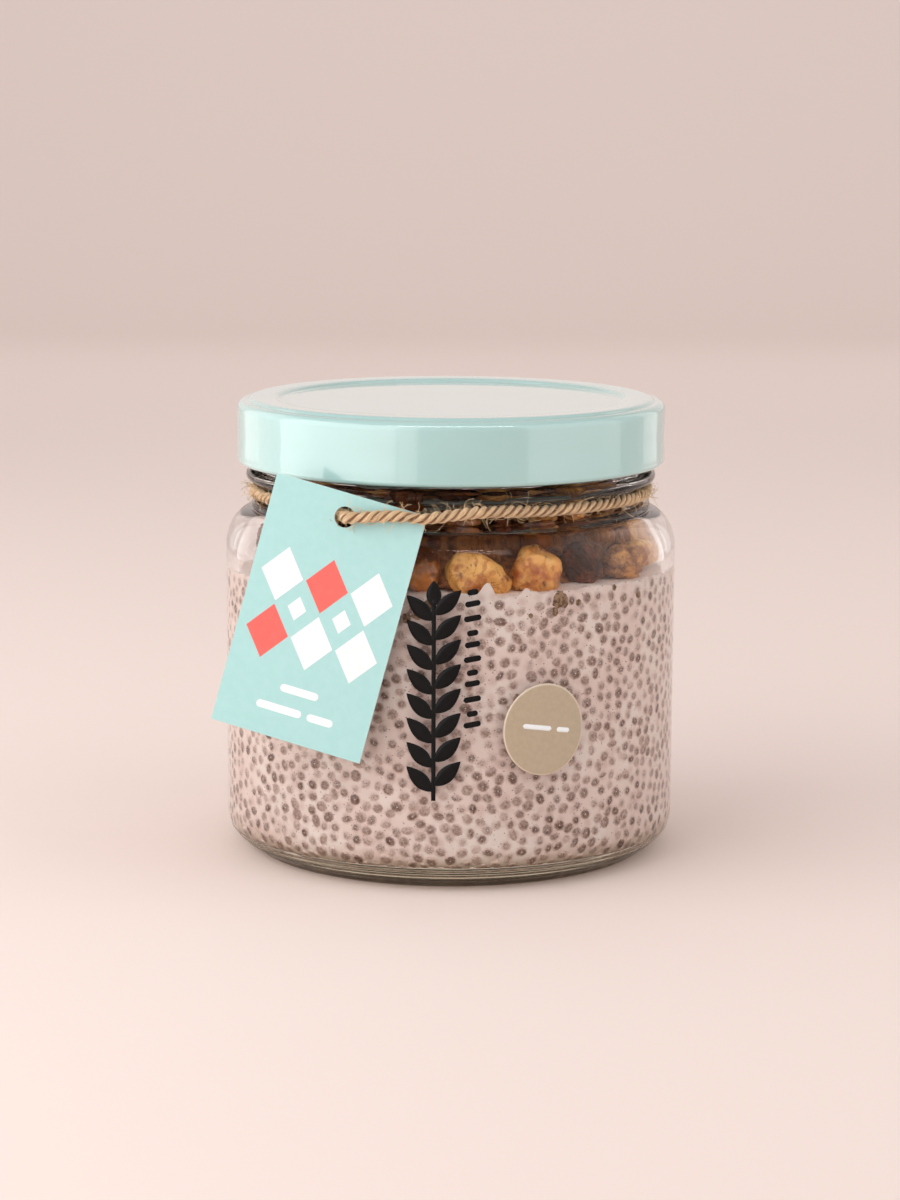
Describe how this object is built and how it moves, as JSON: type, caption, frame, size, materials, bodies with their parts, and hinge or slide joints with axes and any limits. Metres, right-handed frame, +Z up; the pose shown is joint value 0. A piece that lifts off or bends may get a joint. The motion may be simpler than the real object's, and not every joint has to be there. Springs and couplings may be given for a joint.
{
  "type": "chia pudding in a jar",
  "caption": "Chia pudding under a nut and fruit topping in a shut round glass jar, with a twist-off metal lid, a twine loop and a card tag.",
  "frame": {"origin": "middle of the jar's flat underside, on the jar's axis", "axes": "+Z up along the jar's axis, -Y towards the front (the side with the label), +X to the right seen from the front"},
  "size_m": [0.0904, 0.0924, 0.0906],
  "materials": {
    "clear_glass": "clear, glossy",
    "mint_lid_paint": "glossy mint paint",
    "seeded_pudding": "moist, creamy, with swollen seeds",
    "nut_and_fruit_mix": "sticky, crumbly",
    "toasted_hazelnut": "satin, toasted spots",
    "dark_raisin": "wrinkled, half gloss",
    "amber_fruit": "moist",
    "jute_twine": "dry, whiskery",
    "mint_card": "matte, printed",
    "taupe_paper": "satin"
  },
  "bodies": {
    "root": {"jar_glass": "clear_glass", "lid": "mint_lid_paint", "pudding": "seeded_pudding", "topping_heap": "nut_and_fruit_mix", "hazelnut_left": "toasted_hazelnut", "hazelnut_right": "toasted_hazelnut", "raisin": "dark_raisin", "fruit_piece": "amber_fruit", "twine": "jute_twine", "tag": "mint_card", "round_label": "taupe_paper"}
  },
  "joints": []
}
